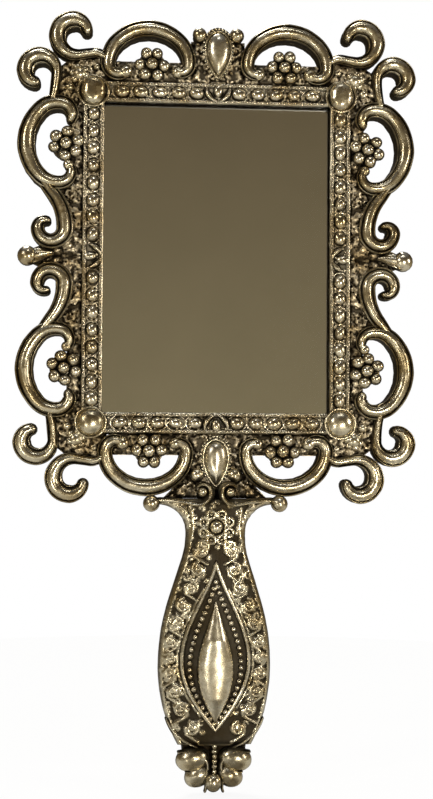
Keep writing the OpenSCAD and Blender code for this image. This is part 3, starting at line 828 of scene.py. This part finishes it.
# neck flower: a ball in a ring of small loops, and two volutes at the top
carving.dot((0, NECK_Z), 2.2, 2.0)
carving.curve(spiral((0, NECK_Z), 3.0, 0, 1, 1, 1.0, 40), 0.4, 0.5)
for k in range(8):
    a = rad(45 * k + 22.5)
    c = (4.7 * math.cos(a), NECK_Z + 4.6 * math.sin(a))
    carving.curve(spiral(c, 1.4, 45 * k, 1.0, 1, 1.0, 18), 0.6, 1.1)
    carving.dot(c, 0.6, 0.8)
for way in (1, -1):
    carving.curve(spiral((way * 4.9, -HANDLE_TOP - 16.0), 2.2, 200 if way > 0 else -20, 1.3, -way), 0.7, 1.1)
    stalk = [(way * x, -HANDLE_TOP - down) for x, down in ((8.6, 3.2), (7.9, 8.5), (8.4, 13.5))]
    carving.curve(stalk, 0.7, 1.0)
    carving.curve(spiral((way * 12.3, -HANDLE_TOP - 4.9), 2.1, 90, 1.2, way), 0.65, 1.0)
# small foliage between the scrolls
for _ in range(330):
    x, z = rng.uniform(-18, 18), rng.uniform(-HANDLE_TOP - 80, -HANDLE_TOP - 1)
    beside = abs(x) > marquise_half(z, FIELD_TOP - 1.5, FIELD_END + 1.5, BAND_W + 0.5)
    if beside and math.hypot(x, z - NECK_Z) > 6.6:
        curl = spiral((x, z), rng.uniform(0.6, 1.3), rng.uniform(0, 360), 0.7, 1, 0.4, 8)
        carving.curve(curl, 0.5, rng.uniform(0.4, 0.7))
carving.settle()


def handle_height(x, z, e):
    depth = dome(x)
    edge = min(1.0, e / 2.2)
    depth -= 1.9 * (1 - math.sqrt(max(0.0, 1 - (1 - edge) ** 2)))
    outer = marquise_half(z, FIELD_TOP, FIELD_END, 11.5)
    if abs(x) < outer:
        depth -= 0.35
    return depth + carving.at(x, z)


def handle_soil(x, z, e):
    """The ground between the ridges is dark, and so is the channel inside the marquise."""
    inner = marquise_half(z, FIELD_TOP + 0.5, FIELD_END - 0.3, 11.3)
    if abs(x) < inner:
        return 0.93
    return 0.95 * (1 - min(1.0, carving.at(x, z) / 0.45)) * min(1.0, e / 0.8)


outline = (
    [(-20.5, -HANDLE_TOP), (20.5, -HANDLE_TOP)]
    + [(p[0], p[1]) for p in side_line]
    + [(-p[0], p[1]) for p in reversed(side_line)]
)
s = Shape()
s.relief(outline, handle_height, 2.75, 0.42, soil=handle_soil)
# an arm on each side rolls in over its top edge, and curls round a ball; a leaf closes the body at its foot
for way in (-1, 1):
    s.ball((way * 22.1, -HANDLE_TOP - 1.6), 2.8 + 3.2, 2.9, jitter=0.05)
    arm = walk((19.5, -HANDLE_TOP - 0.6), 180, 2.2, [(60, 12, 2.8), (4.2, -112, 2.8), (2.6, -130, 1.5)])
    leaf = walk((16.4, -HALF_H - 104.6), 246, 1.2, [(16, -25, 2.8), (16, -25, 0.9)])
    for path, lift in ((arm, 1.1), (leaf, 0.7)):
        path = [(way * x, z, h if way > 0 else 180 - h, w) for x, z, h, w in path]
        s.tube(path, GROUND, lambda x, lift=lift: dome(x) + lift - GROUND, PLAIN)
    s.ball((way * 4.7, -HANDLE_TOP + 2.5), dome(4.7) - 0.6, 1.7)
s.build(
    "v_handle_front", antique,
    ["handle_front", "handle_scrolls_left", "handle_scrolls_right", "neck_flower"], rough=0.08,
)

s = Shape()
rim = marquise_line(FIELD_TOP, FIELD_END, 11.4, 60)
s.wire([(x, dome(x) + 0.1, z) for x, z in rim], 0.72, closed=True, flat=1.2)
s.build("v_handle_rim", polished, ["handle_rim"], rough=0.08)

s = Shape()
line = resampled(marquise_line(HALF_H + 57.0, HALF_H + 106.4, 8.75, 60), 0.2)
walked, last = 0.0, line[0]
for p in line:
    walked += math.hypot(p[0] - last[0], p[1] - last[1])
    last = p
    if walked >= 2.15:
        walked = 0.0
        s.ball(p, dome(p[0]) - 0.1, 1.0, around=12, rows=8, jitter=0.08)
s.build("v_handle_beads", pearl, ["handle_beads"])

s = Shape()
CAB = (HALF_H + 62.0, HALF_H + 106.0, 6.3)


def cab_height(x, z, e):
    half = marquise_half(z, *CAB)
    if half <= 0.05:
        return dome(x) - 0.2
    f = min(1.0, abs(x) / half)
    return dome(0) - 0.4 + (0.4 + 3.0 * min(1.0, half / 4.5)) * math.sqrt(max(0.0, 1 - f * f)) * 0.95


s.relief(marquise_line(*CAB, 40), cab_height, HANDLE_D - 1.6, 0.4)
s.build("v_handle_drop", polished, ["handle_drop"], rough=0.1)

# Foot of the handle: two pairs of rolled leaves over a ball, and a beaded stem between them
s = Shape()
FT = HALF_H + 112.4
FOOT_D = 5.0
plate = [(11.4, -FT + 1.5), (10.6, -FT - 8), (7.4, -FT - 13), (2.6, -FT - 15)]
s.relief(
    plate + [(-x, z) for x, z in reversed(plate)], lambda x, z, e: FOOT_D * min(1, 0.7 + e), 1.0, 0.6,
    soil=lambda x, z, e: 1.0,
)
for way in (-1, 1):
    for x, down, lift, r, flat, short, tilt in (
        (7.3, 6.0, 0.0, 5.9, 0.74, 0.76, -14), (5.4, 11.8, -0.4, 4.9, 0.8, 0.8, -30),
    ):
        s.ball(
            (way * x, -FT - down), FOOT_D + lift, r, flat=flat, around=28, rows=16, stretch=(1.0, short),
            turn=way * tilt,
        )
    curl = walk((12.2, -FT - 3.6), 170, 0.9, [(14, 20, 1.5), (7, 42, 1.7), (3.6, 100, 1.1)])
    low = walk((9.6, -FT - 10.4), 180, 0.8, [(9, 35, 1.4), (4, 80, 1.0)])
    for path, top in ((curl, 4.3), (low, 3.4)):
        path = [(way * x, z, h if way > 0 else 180 - h, w) for x, z, h, w in path]
        s.tube(path, FOOT_D, top, PLAIN)
for k in range(7):
    s.ball((0, -FT + 0.5 - 1.75 * k), FOOT_D + 3.4 - 0.15 * k, 0.95, around=12, rows=8, jitter=0.1)
s.ball((-0.3, -HALF_H - 126.2), 7.0, 3.0, around=24, rows=14, stretch=(0.95, 1.1))
s.build("v_finial", antique, ["finial"])

# Webs between the ornaments -------------------------------------------------------------------

web_lines = Lines()


def scatter(count, from_x, to_x, from_z, to_z):
    """Small curls and dots at random places in a box."""
    for _ in range(count):
        x, z = rng.uniform(from_x, to_x), rng.uniform(from_z, to_z)
        curl = spiral((x, z), rng.uniform(0.5, 1.3), rng.uniform(0, 360), 0.7, 1, 0.4, 8)
        web_lines.curve(curl, 0.42, rng.uniform(0.5, 1.1))
        at = (rng.uniform(from_x, to_x), rng.uniform(from_z, to_z))
        web_lines.dot(at, rng.uniform(0.4, 0.9), rng.uniform(0.7, 1.5))


scatter(700, 40, 68, -1, 76)
scatter(220, 0, 37, 60, 84)
web_lines.settle()


def web_height(x, z, e):
    return GROUND + 0.9 * min(1, e / 1.2) + web_lines.at(abs(x), abs(z))


def web_soil(x, z, e):
    return 0.85 * (1 - min(1.0, web_lines.at(abs(x), abs(z)) / 0.5))


CORNER_WEB = [
    (RIM_W - 9, RIM_H - 0.4), (HALF_W - 1, HALF_H + 16.5), (HALF_W + 12, HALF_H + 14.6),
    (HALF_W + 16.6, HALF_H + 11), (HALF_W + 18.4, HALF_H), (RIM_W - 0.2, RIM_H - 12),
]
SIDE_WEB = [
    (RIM_W - 0.2, HALF_H - 25), (HALF_W + 19.5, HALF_H - 29.2), (HALF_W + 13.5, HALF_H - 40),
    (HALF_W + 15, HALF_H - 47), (HALF_W + 24, 1.5), (HALF_W + 24, -0.1), (RIM_W - 0.2, -0.1),
]
TOP_BAR = [(9.0, RIM_H - 0.2), (36.0, RIM_H - 0.2), (36.0, RIM_H + 7.3), (9.0, RIM_H + 7.3)]
SIDE_BAR = [
    (RIM_W - 0.2, HALF_H - 27), (RIM_W + 4.9, HALF_H - 27), (RIM_W + 4.9, HALF_H - 4),
    (RIM_W - 0.2, HALF_H - 4),
]
MIDDLE = [(-9.2, RIM_H - 0.2), (9.2, RIM_H - 0.2), (9.2, HALF_H + 22), (-9.2, HALF_H + 22)]
APRON = [(17.5, HANDLE_TOP - 0.2), (8.5, RIM_H + 13), (-8.5, RIM_H + 13), (-17.5, HANDLE_TOP - 0.2)]
for side, level, sx, sz in CORNERS:
    s = Shape()
    for outline in (CORNER_WEB, SIDE_WEB, TOP_BAR, SIDE_BAR):
        s.relief(outline, web_height, GROUND - 0.3, 0.5, soil=web_soil)
    s.build(f"v_web_{level}_{side}", dark, flip=(sx, sz))
for level, sz in (("top", 1), ("bottom", -1)):
    s = Shape()
    for outline in (MIDDLE, APRON) if level == "bottom" else (MIDDLE,):
        s.relief(outline, web_height, GROUND - 0.3, 0.5, soil=web_soil)
    s.build(f"v_web_{level}", dark, flip=(1, sz))

# Stage, light and camera ----------------------------------------------------------------------


floor_mesh = bpy.data.meshes.new("floor")
bm = bmesh.new()
bmesh.ops.create_circle(bm, cap_ends=True, radius=0.4, segments=96)
bm.to_mesh(floor_mesh)
bm.free()
floor = bpy.data.objects.new("floor", floor_mesh)
floor.location = (0, 0, cad_box[0][2] - 0.0005)
bpy.context.scene.collection.objects.link(floor)
paper = bpy.data.materials.new("floor")
paper.use_nodes = True
make, link = node_maker(paper)
card = make("ShaderNodeBsdfDiffuse")
card.inputs["Color"].default_value = (0.55, 0.54, 0.5, 1)
lit = make("ShaderNodeEmission", Strength=1.05)
blend = make("ShaderNodeMixShader")
watched = make("ShaderNodeLightPath")
faint = make("ShaderNodeMath", operation="MULTIPLY")
faint.inputs[1].default_value = 0.88
link(watched.outputs["Is Camera Ray"], faint.inputs[0])
link(faint.outputs[0], blend.inputs[0])
link(card.outputs[0], blend.inputs[1])
link(lit.outputs[0], blend.inputs[2])
link(blend.outputs[0], make("ShaderNodeOutputMaterial").inputs[0])
floor_mesh.materials.append(paper)

world = bpy.data.worlds.new("room")
bpy.context.scene.world = world
world.use_nodes = True
make, link = node_maker(world)
w_out = make("ShaderNodeOutputWorld")
seen = make("ShaderNodeLightPath")
direction = make("ShaderNodeTexCoord")
parts = make("ShaderNodeSeparateXYZ")
link(direction.outputs["Generated"], parts.inputs[0])
height = make("ShaderNodeMapRange")
height.inputs["From Min"].default_value = -1.0
height.inputs["From Max"].default_value = 1.0
link(parts.outputs["Z"], height.inputs["Value"])
shades = make("ShaderNodeValToRGB")
ramp(shades, [
    (0.0, (0.3, 0.26, 0.18)), (0.42, (0.23, 0.188, 0.112)), (0.5, (0.22, 0.18, 0.106)),
    (0.62, (0.13, 0.1, 0.058)), (0.8, (0.06, 0.045, 0.028)), (1.0, (0.22, 0.23, 0.25)),
])
link(height.outputs[0], shades.inputs[0])
room = make("ShaderNodeBackground", Strength=1.0)
link(shades.outputs[0], room.inputs["Color"])
white = make("ShaderNodeBackground", Strength=1.0)
white.inputs["Color"].default_value = (1, 1, 1, 1)
mix = make("ShaderNodeMixShader")
link(seen.outputs["Is Camera Ray"], mix.inputs[0])
link(room.outputs[0], mix.inputs[1])
link(white.outputs[0], mix.inputs[2])
link(mix.outputs[0], w_out.inputs[0])


def softbox(name, at, aim, size, power, colour=(1, 1, 1)):
    data = bpy.data.lights.new(name, "AREA")
    data.shape = "RECTANGLE"
    data.size, data.size_y = size
    data.energy = power
    data.color = colour
    o = bpy.data.objects.new(name, data)
    o.location = at
    o.rotation_euler = (Vector(aim) - Vector(at)).to_track_quat("-Z", "Y").to_euler()
    o.visible_camera = False
    bpy.context.scene.collection.objects.link(o)


sun = bpy.data.lights.new("sun", "SUN")
sun.energy = 2.6
sun.angle = rad(25)
sun.color = (0.97, 0.98, 1)
sun_o = bpy.data.objects.new("sun", sun)
sun_o.rotation_euler = (Vector((0, 0, 0)) - Vector((-0.15, 0.45, 1))).to_track_quat("-Z", "Y").to_euler()
bpy.context.scene.collection.objects.link(sun_o)
softbox("front_low", (0.16, -0.55, -0.14), (0, 0, -0.05), (0.08, 0.06), 1.1, (1, 0.95, 0.84))
softbox("front_low_left", (-0.3, -0.5, -0.2), (0, 0, -0.05), (0.05, 0.05), 0.35, (1, 0.96, 0.86))
softbox("above", (0.05, -0.35, 0.6), (0, 0, 0), (0.25, 0.04), 0.5, (0.95, 0.97, 1))
softbox("left", (-0.6, -0.5, 0.3), (0, 0, 0), (0.06, 0.2), 1.3, (1, 0.96, 0.9))
softbox("right", (0.7, -0.3, 0.1), (0, 0, 0), (0.06, 0.25), 1.1, (1, 0.93, 0.84))

bpy.context.scene.view_settings.view_transform = "Standard"

cam_data = bpy.data.cameras.new("camera")
cam_data.sensor_fit = "VERTICAL"
cam_data.sensor_height = 24
DIST = 0.48
cam_data.lens = 24 * 1.7352
cam = bpy.data.objects.new("camera", cam_data)
bpy.context.scene.collection.objects.link(cam)
aim = Vector((0.0002, -0.005, -0.049))
azimuth, elevation = rad(-4.5), rad(-2)
eye = aim + DIST * Vector((
    math.sin(azimuth) * math.cos(elevation), -math.cos(azimuth) * math.cos(elevation), math.sin(elevation)
))
turn = (aim - eye).to_track_quat("-Z", "Y").to_matrix().to_4x4()
cam.matrix_world = Matrix.Translation(eye) @ turn @ Matrix.Rotation(rad(0.36), 4, "Z")
bpy.context.scene.camera = cam
